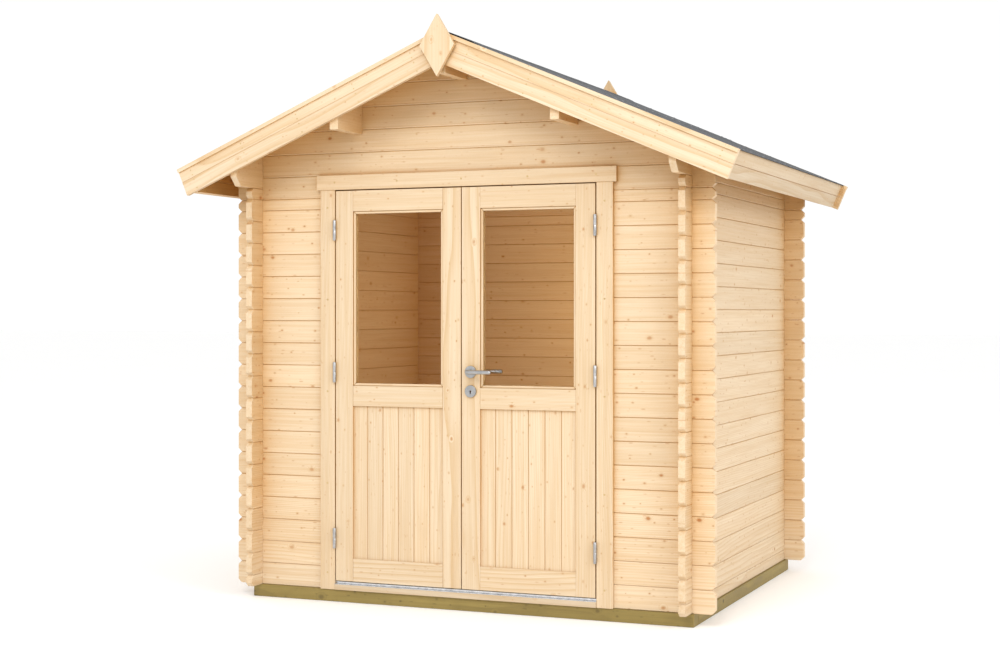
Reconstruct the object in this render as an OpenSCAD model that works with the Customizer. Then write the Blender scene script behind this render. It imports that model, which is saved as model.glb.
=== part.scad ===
// Garden shed of crossed, interlocking logs with a felted gable roof and glazed double doors.
// Millimetres. X runs to the right, Y to the back, Z up. The ground is at zero and the doors face -Y.

/* [Base] */
// Height of the treated base beams
base_h = 55; // [45:1:90]
// Width of a base beam
base_w = 70; // [60:1:100]
// How far the base beams stand out past the walls
base_out = 11; // [5:1:20]
// Width of a floor joist
joist_w = 45; // [35:1:70]
// Distance between the joists' centres
joist_pitch = 480; // [350:1:600]
// Thickness of the floor boards
floor_t = 18; // [15:1:28]
// Width of a floor board
floor_board_w = 95; // [80:1:130]

/* [Walls] */
// Outside width over the side walls
wall_w = 2054; // [1900:1:2500]
// Outside depth over the front and back walls
wall_d = 1690; // [1400:1:2200]
// Thickness of a log
log_t = 30; // [26:1:40]
// Height that one log covers
log_h = 100; // [96:1:110]
// Least wood left over the doorway in the log above it
head_web = 30; // [20:1:45]
// How far the logs run past a corner
log_over = 98; // [60:1:140]
// Chamfer on the corners of a log's end
end_chamfer = 16; // [4:1:20]
// Small chamfer that makes the V line between logs
joint_v = 2.5; // [1:0.5:4]
// Width of a log's tongue
tongue_w = 10; // [8:0.5:14]
// Height of a log's tongue
tongue_h = 8; // [5:0.5:12]
// Outer top edge of the wall plate over the second gable log's underside
plate_h = 115; // [105:1:140]

/* [Roof] */
// Slope of the roof in degrees
roof_pitch = 23; // [20:0.5:28]
// Thickness of the roof boards
deck_t = 18; // [15:1:24]
// Width of a roof board
deck_board_w = 95; // [80:1:120]
// Thickness of the felt
felt_t = 4; // [3:0.5:8]
// How far the felt drips past the fascia
felt_drip = 8; // [0:1:15]
// Front wall to the front of the bargeboards
verge_out = 250; // [180:1:350]
// Side wall to the end of the bargeboards
eave_out = 263; // [180:1:350]
// Thickness of a bargeboard
barge_t = 20; // [16:1:28]
// Width of each of the two boards of a bargeboard or fascia
barge_board_w = 63; // [50:1:80]
// Width of the cover strip along a bargeboard's top edge
strip_w = 16; // [10:1:30]
// Thickness of the cover strip
strip_t = 8; // [5:1:15]
// Thickness of a fascia board
fascia_t = 18; // [15:1:28]
// How far the bargeboards run past the fascia
fascia_back = 25; // [10:1:50]
// Width of a purlin
purlin_w = 40; // [30:1:60]
// Height of a purlin at its middle
purlin_h = 155; // [120:1:170]
// Distance from the ridge to a side purlin's middle
purlin_x = 510; // [400:1:600]
// Cut on the lower corner of a wall plate's end
plate_cut = 40; // [20:1:60]
// Width of the diamond board
diamond_w = 160; // [100:1:220]
// Height of the diamond board
diamond_h = 264; // [180:1:320]
// How far the diamond stands above the ridge
diamond_up = 65; // [30:1:100]
// Thickness of the diamond board
diamond_t = 18; // [12:1:25]

/* [Doorway] */
// Thickness of the jambs and head
jamb_t = 28; // [22:1:40]
// Thickness of the casing boards
casing_t = 18; // [14:1:22]
// Width of a casing board
casing_w = 73; // [55:1:100]
// Height of the casing over the door
cap_h = 66; // [50:1:90]
// How far that casing runs past the side ones
cap_over = 17; // [0:1:40]
// Thickness of that casing
cap_t = 22; // [18:1:30]
// Height of the timber sill
sill_h = 24; // [19:1:40]
// How far the sill stands out past the casing
sill_out = 5; // [0:1:15]
// Height of the metal threshold rail
rail_h = 12; // [8:1:20]
// Width of the threshold rail
rail_w = 46; // [30:1:60]
// How far the stops reach in behind the doors
stop_in = 15; // [8:1:25]

/* [Doors] */
// Width of one door leaf
leaf_w = 610; // [550:1:680]
// Height of a door leaf
leaf_h = 1738; // [1650:1:1780]
// Thickness of a door leaf
leaf_t = 40; // [34:1:44]
// Clear gap round a leaf
door_gap = 5; // [5:0.5:8]
// Width of the stiles
stile_w = 86; // [70:1:110]
// Height of the top rail
top_rail = 92; // [70:1:120]
// Height of the middle rail
mid_rail = 90; // [70:1:120]
// Height of the bottom rail
bottom_rail = 102; // [80:1:140]
// Bottom of the leaf to the underside of the middle rail
mid_rail_z = 781; // [600:1:900]
// Thickness of the panel boards
panel_t = 16; // [12:1:20]
// Panel boards in a leaf
panel_boards = 6; // [4:1:8]
// How far panel and glass sit in their grooves
groove_in = 8; // [5:1:12]
// Panel's face behind the face of the leaf
panel_back = 10; // [6:1:14]
// Thickness of the glass
glass_t = 4; // [3:0.5:6]
// Width of a glazing bead
bead_w = 11; // [8:1:16]
// Bead's face behind the face of the leaf
bead_back = 5; // [2:1:8]

/* [Fittings] */
// Radius of a hinge knuckle
knuckle_r = 7.5; // [6:0.5:9]
// Height of a closed hinge
hinge_h = 85; // [70:1:110]
// Radius of a hinge pin
pin_r = 4; // [3:0.5:5]
// Bottom of the leaf to the middle of the lowest hinge
hinge_low = 190; // [120:1:260]
// Height of the middle hinge as a share of the leaf's height
hinge_share = 0.535; // [0.45:0.005:0.6]
// Top of the leaf to the middle of the highest hinge
hinge_drop = 175; // [120:1:260]
// Thickness of a hinge plate
plate_t = 2; // [1.5:0.1:2.2]
// Depth of a hinge plate behind the pin
plate_d = 40; // [30:1:45]
// Height of the lever over the bottom of the leaf
lever_z = 940; // [880:1:1000]
// Height of the keyhole over the bottom of the leaf
key_z = 856; // [800:1:870]
// Radius of the roses
rose_r = 26; // [22:1:30]
// Thickness of a rose
rose_t = 8; // [6:1:10]
// Radius of the lever's neck and grip
grip_r = 9; // [7:0.5:11]
// Radius of the spindle
spindle_r = 5; // [4:0.5:6]
// Spindle to the end of the lever
lever_len = 104; // [90:1:125]
// Face of the leaf to the middle of the grip
lever_out = 46; // [40:1:60]

/* [Fits] */
// Gap between pieces that lie on each other
seat = 0.3; // [0.2:0.1:0.5]
// Gap between neighbouring logs and boards
lie = 0.5; // [0.3:0.1:0.8]
// Play round a notch or a tongue
play = 0.5; // [0.3:0.1:0.8]
// Play round a pin or a neck
turn = 0.3; // [0.2:0.05:0.4]

// Room over an open door, under the end of the wall plate
swing_gap = 15; // [8:1:20]

/* [Hidden] */
$fn = 48;
spruce = "#e6d3ad";
pale = "#efe0c0";
green = "#7d7f55";
slate = "#55595c";
zinc = "#a9adb0";
alloy = "#c9ccce";
clear = [0.8, 0.9, 0.92, 0.35];

sill_z = base_h + sill_h;
leaf_z = sill_z + rail_h + door_gap;
leaf_top = leaf_z + leaf_h;
hinge_at = [hinge_low, hinge_share * leaf_h, leaf_h - hinge_drop];
clear_x = leaf_w + 1.5 * door_gap;
door_x = clear_x + jamb_t;
door_top = leaf_top + door_gap + jamb_t;

front_y = -wall_d / 2;
half_h = log_h / 2;
notch_h = log_h / 4;
log_rows = floor((door_top + head_web - base_h - half_h) / log_h);
rows_top = base_h + half_h + log_rows * log_h;
eave_z = rows_top + log_h;
plate_z = max(rows_top + half_h, leaf_top + swing_gap);
slope = tan(roof_pitch);
under_apex = eave_z + plate_h + slope * wall_w / 2;
deck_v = -felt_t - seat;
roof_t = deck_t - deck_v;
apex_z = under_apex + (roof_t + seat) / cos(roof_pitch);
barge_w = 2 * barge_board_w + lie;
barge_u = (wall_w / 2 + eave_out) / cos(roof_pitch);
fascia_u = barge_u - fascia_back;
barge_y = wall_d / 2 + verge_out;
roof_y = barge_y - barge_t;
gable_rows = ceil((under_apex - rows_top) / log_h);
eps = 0.1;

leaf_y = front_y - casing_t;
inner_y = front_y + log_t;
axis_x = clear_x - door_gap / 2;
axis_y = leaf_y - knuckle_r - 1;
pane_z = mid_rail_z + mid_rail;
lever_x = door_gap / 2 + stile_w / 2;

// A box from its lowest to its highest corner
module block(low, high) {
    translate(low) cube(high - low);
}

// Raises an outline drawn in X and Z, from depth y
module upright(y, depth) {
    translate([0, y + depth, 0]) rotate([90, 0, 0]) linear_extrude(depth) children();
}

// Runs a section drawn in Y and Z along X
module along(x, length) {
    translate([x, 0, 0]) rotate([90, 0, 90]) linear_extrude(length) children();
}

module rect(x0, z0, x1, z1) {
    translate([x0, z0]) square([x1 - x0, z1 - z0]);
}

// A log's section: V chamfers on the edges and a tongue on top
module log_section(h) {
    mid = log_t / 2;
    tongue = tongue_w / 2;
    top = h - lie;
    polygon([
        [joint_v, 0], [log_t - joint_v, 0], [log_t, joint_v], [log_t, top - joint_v], [log_t - joint_v, top],
        [mid + tongue, top], [mid + tongue, top + tongue_h], [mid - tongue, top + tongue_h],
        [mid - tongue, top], [joint_v, top], [0, top - joint_v], [0, joint_v]
    ]);
}

// The groove in a log's underside, for the tongue of the log below
module groove(x0, x1) {
    mid = log_t / 2;
    reach = tongue_w / 2 + play;
    block([x0, mid - reach, -eps], [x1, mid + reach, tongue_h + play]);
}

// A log's outline: chamfered free ends, and a notch at each wall it crosses.
// Between keep[0] and keep[1] the log's core runs through the crossing.
module log_outline(x0, x1, h, cross, keep) {
    top = h - lie;
    core_top = keep[1] - lie;
    c0 = x0 < cross[0] ? end_chamfer : 0;
    c1 = x1 > cross[1] ? end_chamfer : 0;
    tongue0 = max(x0, cross[0] + log_t + play);
    tongue1 = min(x1, cross[1] - log_t - play);
    difference() {
        union() {
            polygon([
                [x0 + c0, 0], [x1 - c1, 0], [x1, c1], [x1, top - c1],
                [x1 - c1, top], [x0 + c0, top], [x0, top - c0], [x0, c0]
            ]);
            rect(tongue0, half_h / 2, tongue1, top + tongue_h);
        }
        for (side = [cross[0], cross[1] - log_t]) {
            if (keep[0] > 0) rect(side - play, -eps, side + log_t + play, keep[0]);
            if (keep[1] < h) rect(side - play, core_top, side + log_t + play, h + log_h);
        }
    }
}

// A log along X, its outer face at Y zero
module log(x0, x1, z, h, cross, keep, grooved = true) {
    translate([0, 0, z]) difference() {
        intersection() {
            along(x0, x1 - x0) log_section(h);
            upright(0, log_t) log_outline(x0, x1, h, cross, keep);
        }
        if (grooved)
            groove(x0 < cross[0] ? cross[0] + log_t : x0 - eps, x1 > cross[1] ? cross[1] - log_t : x1 + eps);
    }
}

// The front and back walls' logs up to the eaves, the last row of half height
module cross_rows(x0, x1) {
    cross = [-wall_w / 2, wall_w / 2];
    for (i = [0:log_rows - 1])
        log(x0, x1, base_h + i * log_h, log_h, cross, [notch_h, log_h - notch_h], i > 0);
    log(x0, x1, rows_top - half_h, half_h, cross, [notch_h, half_h]);
}

// The space under the roof boards, seen from the front
module under_roof() {
    reach = barge_u;
    polygon([[0, under_apex], [-reach, under_apex - slope * reach], [-reach, 0],
             [reach, 0], [reach, under_apex - slope * reach]]);
}

// The gable's logs, cut to the roof and notched for the purlins
module gable_rows_of(opening_x) {
    cross = [-wall_w / 2, wall_w / 2];
    end = wall_w / 2 + log_over;
    difference() {
        intersection() {
            for (i = [0:gable_rows - 1])
                log(-end, end, rows_top + i * log_h, log_h, cross, [half_h, log_h]);
            upright(-eps, log_t + 2 * eps) under_roof();
        }
        for (x = [-purlin_x, 0, purlin_x])
            block([x - purlin_w / 2 - seat, -eps, purlin_bottom(x) - seat],
                  [x + purlin_w / 2 + seat, log_t + eps, apex_z]);
        if (opening_x > 0)
            block([-opening_x, -eps, 0], [opening_x, log_t + eps, door_top + seat]);
    }
}

// A side wall's logs: a half row first, whole rows, one row and the bevelled plate over the eaves
module side_rows() {
    cross = [-wall_d / 2, wall_d / 2];
    end = wall_d / 2 + log_over;
    log(-end, end, base_h, half_h, cross, [0, notch_h], false);
    for (i = [0:log_rows - 1])
        log(-end, end, base_h + half_h + i * log_h, log_h, cross, [notch_h, log_h - notch_h]);
    log(-end, end, rows_top, plate_z - rows_top, cross, [0, half_h]);
    wall_plate();
}

// The topmost side log, bevelled to the roof, runs out under the verges as a bracket
module wall_plate() {
    drop = eave_z - plate_z;
    outer = drop + plate_h;
    tall = outer + slope * log_t;
    inside = wall_d / 2 - log_t;
    translate([0, 0, plate_z]) difference() {
        intersection() {
            along(-roof_y, 2 * roof_y) polygon([
                [joint_v, 0], [log_t - joint_v, 0], [log_t, joint_v], [log_t, tall], [0, outer], [0, joint_v]
            ]);
            upright(0, log_t) polygon([
                [-roof_y + plate_cut, 0], [roof_y - plate_cut, 0], [roof_y, plate_cut],
                [roof_y, tall], [-roof_y, tall], [-roof_y, plate_cut]
            ]);
        }
        groove(-inside, inside);
        for (y = [-wall_d / 2, inside]) {
            block([y - play, -eps, -eps], [y + log_t + play, log_t + eps, drop]);
            block([y - play, -eps, drop + half_h - lie], [y + log_t + play, log_t + eps, tall + eps]);
        }
    }
}

// A point on the right-hand slope: u down the slope, v out from the felt's face
function on_slope(u, v) =
    [u * cos(roof_pitch) + v * sin(roof_pitch), apex_z - u * sin(roof_pitch) + v * cos(roof_pitch)];

// How far down the slope the ridge's upright plane lies at v
function ridge_u(v) = (lie / 2 - v * sin(roof_pitch)) / cos(roof_pitch);

// A layer of the right-hand slope from the ridge to u
module slope_layer(u, v0, v1) {
    polygon([on_slope(ridge_u(v0), v0), on_slope(u, v0), on_slope(u, v1), on_slope(ridge_u(v1), v1)]);
}

// A strip of the slope from u0 to u1
module slope_strip(u0, u1, v0, v1) {
    polygon([on_slope(u0, v0), on_slope(u1, v0), on_slope(u1, v1), on_slope(u0, v1)]);
}

module roof_boards() {
    count = round(2 * roof_y / deck_board_w);
    pitch = 2 * roof_y / count;
    color(pale) for (i = [0:count - 1])
        upright(-roof_y + i * pitch + lie / 2, pitch - lie)
            slope_layer(fascia_u - fascia_t - seat, deck_v, -roof_t);
}

module felt() {
    color(slate) upright(-roof_y, 2 * roof_y) slope_layer(fascia_u + felt_drip, 0, -felt_t);
}

// Two boards, the upper one with the cover strip along its edge
module bargeboard() {
    color(pale) translate([0, -barge_y, 0]) {
        upright(0, barge_t) slope_layer(barge_u, 0, -barge_board_w);
        upright(-strip_t, strip_t) slope_layer(barge_u, 0, -strip_w);
        upright(0, barge_t) slope_layer(barge_u, -barge_board_w - lie, -barge_w);
    }
}

module fascia() {
    color(pale) for (v = [[deck_v, -barge_board_w], [-barge_board_w - lie, -barge_w]])
        upright(-roof_y, 2 * roof_y) slope_strip(fascia_u - fascia_t, fascia_u, v[0], v[1]);
}

module diamond() {
    tip = apex_z + diamond_up;
    color(pale) upright(-barge_y - strip_t - diamond_t, diamond_t) polygon([
        [0, tip], [diamond_w / 2, tip - diamond_h / 2], [0, tip - diamond_h], [-diamond_w / 2, tip - diamond_h / 2]
    ]);
}

// Underside of a purlin whose middle lies x from the ridge
function purlin_bottom(x) = under_apex - slope * abs(x) - purlin_h;

module purlin(x) {
    color(pale) upright(-roof_y, 2 * roof_y) intersection() {
        rect(x - purlin_w / 2, purlin_bottom(x), x + purlin_w / 2, apex_z);
        under_roof();
    }
}

module floor_bearers() {
    y = wall_d / 2 + base_out - base_w;
    x = wall_w / 2 + base_out - base_w;
    color(green) {
        for (side = [-x - base_w, x]) block([side, -y, 0], [side + base_w, y, base_h]);
        for (i = [-1:1]) block([i * joist_pitch - joist_w / 2, -y, 0], [i * joist_pitch + joist_w / 2, y, base_h]);
    }
}

module cross_beam() {
    x = wall_w / 2 + base_out;
    y = wall_d / 2 + base_out;
    color(green) block([-x, -y, 0], [x, base_w - y, base_h]);
}

module floor_boards() {
    y0 = inner_y + casing_t + 2 * lie;
    y1 = -inner_y - 2 * lie;
    x = wall_w / 2 - log_t - 2 * lie;
    count = round((y1 - y0) / floor_board_w);
    pitch = (y1 - y0) / count;
    color(pale) for (i = [0:count - 1])
        block([-x, y0 + i * pitch, base_h], [x, y0 + (i + 1) * pitch - lie, base_h + floor_t]);
}

// The right-hand jamb, with the inner casing that stops the door
module jamb() {
    stop_top = leaf_top + door_gap - stop_in;
    color(pale) {
        block([clear_x, front_y, sill_z], [door_x - seat, inner_y, leaf_top + door_gap]);
        block([clear_x - stop_in, inner_y, sill_z], [clear_x + casing_w, inner_y + casing_t, stop_top - lie]);
    }
}

module door_head() {
    under = leaf_top + door_gap;
    color(pale) {
        block([-door_x + seat, front_y, under], [door_x - seat, inner_y, door_top]);
        block([-clear_x - casing_w, inner_y, under - stop_in],
              [clear_x + casing_w, inner_y + casing_t, under + casing_w]);
    }
}

// The sill runs under the jambs, and its nose lies between the casings
module door_sill() {
    color(pale) {
        block([-door_x + seat, front_y, base_h], [door_x - seat, inner_y + casing_t, sill_z]);
        block([-clear_x + seat, leaf_y - sill_out, base_h], [clear_x - seat, front_y + eps, sill_z]);
    }
}

// A flat metal rail with two ribs under the doors
module threshold_rail() {
    skin = 3;
    rib = 8;
    y = leaf_y + leaf_t / 2;
    color(alloy) along(-clear_x, 2 * clear_x) polygon([
        [y - rail_w / 2, sill_z], [y + rail_w / 2, sill_z], [y + rail_w / 2, sill_z + skin],
        [y + rib, sill_z + skin], [y + rib, sill_z + rail_h], [y - rib, sill_z + rail_h],
        [y - rib, sill_z + skin], [y - rail_w / 2, sill_z + skin]
    ]);
}

module casing() {
    color(pale) block([clear_x, leaf_y, base_h], [clear_x + casing_w, front_y, leaf_top + door_gap]);
}

module top_casing() {
    x = clear_x + casing_w + cap_over;
    under = leaf_top + door_gap;
    color(pale) block([-x, front_y - cap_t, under], [x, front_y, under + cap_h]);
}

// The leaf on the right, as the doors are seen from the front
module leaf_frame(bores) {
    x0 = door_gap / 2;
    x1 = x0 + leaf_w;
    in0 = x0 + stile_w;
    in1 = x1 - stile_w;
    back = leaf_y + leaf_t;
    color(spruce) difference() {
        union() {
            block([x0, leaf_y, leaf_z], [in0, back, leaf_top]);
            block([in1, leaf_y, leaf_z], [x1, back, leaf_top]);
            for (z = [[0, bottom_rail], [mid_rail_z, pane_z], [leaf_h - top_rail, leaf_h]])
                block([in0 + seat, leaf_y, leaf_z + z[0]], [in1 - seat, back, leaf_z + z[1]]);
        }
        panel_room(panel_y(), panel_t, bottom_rail, mid_rail_z);
        panel_room(pane_y(), glass_t, pane_z, leaf_h - top_rail);
        if (bores) {
            translate([lever_x, leaf_y - eps, leaf_z + lever_z]) rotate([-90, 0, 0])
                cylinder(r = spindle_r + 2 * turn, h = leaf_t + 2 * eps);
            keyhole(leaf_y - eps, leaf_t + 2 * eps);
        }
    }
}

function panel_y() = leaf_y + panel_back;
function pane_y() = leaf_y + (leaf_t - glass_t) / 2;

// The groove that a panel or pane sits in, between two rails
module panel_room(y, thick, z0, z1) {
    deep = groove_in + seat;
    block([door_gap / 2 + stile_w - deep, y - seat, leaf_z + z0 - deep],
          [door_gap / 2 + leaf_w - stile_w + deep, y + thick + seat, leaf_z + z1 + deep]);
}

// Upright boards with chamfered edges, side by side in the groove
module leaf_boards() {
    x0 = door_gap / 2 + stile_w - groove_in;
    width = leaf_w - 2 * stile_w + 2 * groove_in;
    pitch = width / panel_boards;
    v = joint_v;
    y = panel_y();
    color(spruce) for (i = [0:panel_boards - 1])
        translate([x0 + i * pitch + lie / 2, 0, leaf_z + bottom_rail - groove_in])
            linear_extrude(mid_rail_z - bottom_rail + 2 * groove_in) polygon([
                [v, y], [pitch - lie - v, y], [pitch - lie, y + v], [pitch - lie, y + panel_t],
                [0, y + panel_t], [0, y + v]
            ]);
}

module leaf_glass() {
    x0 = door_gap / 2 + stile_w - groove_in;
    color(clear) block([x0, pane_y(), leaf_z + pane_z - groove_in],
        [x0 + leaf_w - 2 * stile_w + 2 * groove_in, pane_y() + glass_t, leaf_z + leaf_h - top_rail + groove_in]);
}

// A mitred bead along each edge of the pane, in front of it and behind
module leaf_beads() {
    x0 = door_gap / 2 + stile_w + seat;
    x1 = door_gap / 2 + leaf_w - stile_w - seat;
    z0 = leaf_z + pane_z + seat;
    z1 = leaf_top - top_rail - seat;
    b = bead_w;
    m = lie;
    depth = (leaf_t - glass_t) / 2 - bead_back;
    color(spruce) for (y = [leaf_y + bead_back, pane_y() + glass_t]) upright(y, depth) {
        polygon([[x0 + m, z0], [x1 - m, z0], [x1 - b - m, z0 + b], [x0 + b + m, z0 + b]]);
        polygon([[x0 + m, z1], [x1 - m, z1], [x1 - b - m, z1 - b], [x0 + b + m, z1 - b]]);
        polygon([[x0, z0 + m], [x0, z1 - m], [x0 + b, z1 - b - m], [x0 + b, z0 + b + m]]);
        polygon([[x1, z0 + m], [x1, z1 - m], [x1 - b, z1 - b - m], [x1 - b, z0 + b + m]]);
    }
}

// The upper half of each hinge, with its plate on the edge of the leaf
module leaf_hinges() {
    edge = door_gap / 2 + leaf_w;
    half = hinge_h / 2 - seat;
    color(zinc) for (z = hinge_at)
        translate([0, 0, leaf_z + z + seat]) difference() {
            union() {
                translate([axis_x, axis_y, 0]) cylinder(r = knuckle_r, h = half);
                block([edge, axis_y, 0], [edge + plate_t, axis_y + plate_d, half]);
            }
            translate([axis_x, axis_y, -eps]) cylinder(r = pin_r + turn, h = half * 0.9);
        }
}

// The lower half of each hinge on the right-hand jamb, with the pin that the door turns on
module jamb_hinges() {
    half = hinge_h / 2;
    color(zinc) for (z = hinge_at)
        translate([0, 0, leaf_z + z]) {
            translate([axis_x, axis_y, -half]) cylinder(r = knuckle_r, h = half);
            translate([axis_x, axis_y, -eps]) cylinder(r = pin_r, h = half * 0.85);
            block([clear_x - plate_t, axis_y, -half], [clear_x, axis_y + plate_d, 0]);
        }
}

// The slot for the key
module keyhole(y, depth) {
    slot_w = 4;
    slot_h = 11;
    translate([lever_x, y, leaf_z + key_z]) rotate([-90, 0, 0]) cylinder(r = slot_w, h = depth);
    block([lever_x - slot_w / 2, y, leaf_z + key_z - slot_h], [lever_x + slot_w / 2, y + depth, leaf_z + key_z]);
}

// Two round roses on each face of the leaf
module lock_roses() {
    color(zinc) for (y = [leaf_y - rose_t, leaf_y + leaf_t]) difference() {
        for (z = [lever_z, key_z])
            translate([lever_x, y, leaf_z + z]) rotate([-90, 0, 0]) cylinder(r = rose_r, h = rose_t);
        translate([lever_x, y - eps, leaf_z + lever_z]) rotate([-90, 0, 0])
            cylinder(r = grip_r + turn, h = rose_t + 2 * eps);
        keyhole(y - eps, rose_t + 2 * eps);
    }
}

// A lever on each side of the leaf, on one spindle
module lever_handle() {
    color(zinc) translate([lever_x, leaf_y + leaf_t / 2, leaf_z + lever_z]) {
        rotate([90, 0, 0]) cylinder(r = spindle_r, h = leaf_t + 2 * rose_t, center = true);
        for (side = [-1, 1]) {
            reach = leaf_t / 2 + lever_out;
            translate([0, side * reach, 0]) {
                sphere(r = grip_r);
                rotate([0, 90, 0]) cylinder(r = grip_r, h = lever_len);
                translate([lever_len, 0, 0]) sphere(r = grip_r);
                rotate([side * 90, 0, 0]) cylinder(r = grip_r, h = lever_out - rose_t / 2);
            }
        }
    }
}

module front_beam() { cross_beam(); }
module back_beam() { mirror([0, 1, 0]) cross_beam(); }
module front_wall_right() {
    color(spruce) translate([0, front_y, 0]) cross_rows(door_x, wall_w / 2 + log_over);
}
module front_wall_left() { mirror([1, 0, 0]) front_wall_right(); }
module front_gable() { color(spruce) translate([0, front_y, 0]) gable_rows_of(door_x); }
module back_wall() {
    end = wall_w / 2 + log_over;
    color(spruce) mirror([0, 1, 0]) translate([0, front_y, 0]) {
        cross_rows(-end, end);
        gable_rows_of(0);
    }
}
module right_wall() { color(spruce) translate([wall_w / 2, 0, 0]) rotate([0, 0, 90]) side_rows(); }
module left_wall() { mirror([1, 0, 0]) right_wall(); }
module ridge_purlin() { purlin(0); }
module right_purlin() { purlin(purlin_x); }
module left_purlin() { purlin(-purlin_x); }
module right_roof_boards() { roof_boards(); }
module left_roof_boards() { mirror([1, 0, 0]) roof_boards(); }
module right_felt() { felt(); }
module left_felt() { mirror([1, 0, 0]) felt(); }
module front_right_bargeboard() { bargeboard(); }
module front_left_bargeboard() { mirror([1, 0, 0]) bargeboard(); }
module back_right_bargeboard() { mirror([0, 1, 0]) bargeboard(); }
module back_left_bargeboard() { mirror([1, 0, 0]) mirror([0, 1, 0]) bargeboard(); }
module right_fascia() { fascia(); }
module left_fascia() { mirror([1, 0, 0]) fascia(); }
module front_diamond() { diamond(); }
module back_diamond() { mirror([0, 1, 0]) diamond(); }
module right_jamb() { jamb(); }
module left_jamb() { mirror([1, 0, 0]) jamb(); }
module right_casing() { casing(); }
module left_casing() { mirror([1, 0, 0]) casing(); }
module frame_hinges() {
    jamb_hinges();
    mirror([1, 0, 0]) jamb_hinges();
}
module right_leaf_frame() { leaf_frame(true); }
module left_leaf_frame() { mirror([1, 0, 0]) leaf_frame(false); }
module right_leaf_boards() { leaf_boards(); }
module left_leaf_boards() { mirror([1, 0, 0]) leaf_boards(); }
module right_leaf_glass() { leaf_glass(); }
module left_leaf_glass() { mirror([1, 0, 0]) leaf_glass(); }
module right_leaf_beads() { leaf_beads(); }
module left_leaf_beads() { mirror([1, 0, 0]) leaf_beads(); }
module right_leaf_hinges() { leaf_hinges(); }
module left_leaf_hinges() { mirror([1, 0, 0]) leaf_hinges(); }

front_beam();
back_beam();
floor_bearers();
floor_boards();
front_wall_left();
front_wall_right();
front_gable();
back_wall();
left_wall();
right_wall();
ridge_purlin();
left_purlin();
right_purlin();
left_roof_boards();
right_roof_boards();
left_felt();
right_felt();
front_left_bargeboard();
front_right_bargeboard();
back_left_bargeboard();
back_right_bargeboard();
left_fascia();
right_fascia();
front_diamond();
back_diamond();
left_jamb();
right_jamb();
door_head();
door_sill();
threshold_rail();
left_casing();
right_casing();
top_casing();
frame_hinges();
left_leaf_frame();
left_leaf_boards();
left_leaf_glass();
left_leaf_beads();
left_leaf_hinges();
right_leaf_frame();
right_leaf_boards();
right_leaf_glass();
right_leaf_beads();
right_leaf_hinges();
lock_roses();
lever_handle();
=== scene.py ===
import bmesh
import bpy
import math
import random
from mathutils import Matrix, Vector


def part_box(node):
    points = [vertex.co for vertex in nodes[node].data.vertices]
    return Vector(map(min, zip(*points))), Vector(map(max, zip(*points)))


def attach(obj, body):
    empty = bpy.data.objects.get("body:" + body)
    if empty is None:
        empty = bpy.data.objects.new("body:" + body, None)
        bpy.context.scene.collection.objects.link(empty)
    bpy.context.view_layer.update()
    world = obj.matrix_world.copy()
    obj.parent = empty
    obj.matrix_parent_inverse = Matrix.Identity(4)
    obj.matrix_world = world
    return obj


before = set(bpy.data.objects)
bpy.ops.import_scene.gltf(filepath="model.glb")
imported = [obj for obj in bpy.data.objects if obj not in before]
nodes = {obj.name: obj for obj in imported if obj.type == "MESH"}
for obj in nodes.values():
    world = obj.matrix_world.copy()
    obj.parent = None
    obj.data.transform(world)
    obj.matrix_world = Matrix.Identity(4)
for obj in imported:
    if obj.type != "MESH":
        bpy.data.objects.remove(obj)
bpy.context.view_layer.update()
scene = bpy.context.scene
print("frame loaded:", len(nodes), "nodes")

# Places that the looks share with the solids, in metres
leafLow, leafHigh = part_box("right_leaf_frame")
paneLow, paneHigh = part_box("right_leaf_beads")
feltLow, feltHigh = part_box("right_felt")
bargeLow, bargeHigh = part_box("front_right_bargeboard")
build = {
    "baseTop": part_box("front_beam")[1].z,
    "rowPitch": 0.100,
    "rowsTop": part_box("front_wall_left")[1].z,
    "roofPitch": math.radians(23),
    "boardWide": 0.0635,
    "apex": feltHigh.z,
    "eave": bargeHigh.x,
    "floorBoards": 17,
    "roofBoards": 23,
    "panelBoards": 6,
    "boardGap": 0.0005,
    "beadWide": 0.011,
    "beadGap": 0.0003,
}


def boardPitch(low, high, count):  # from one board to the next, where small gaps part them
    return (high - low + build["boardGap"]) / count


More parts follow.
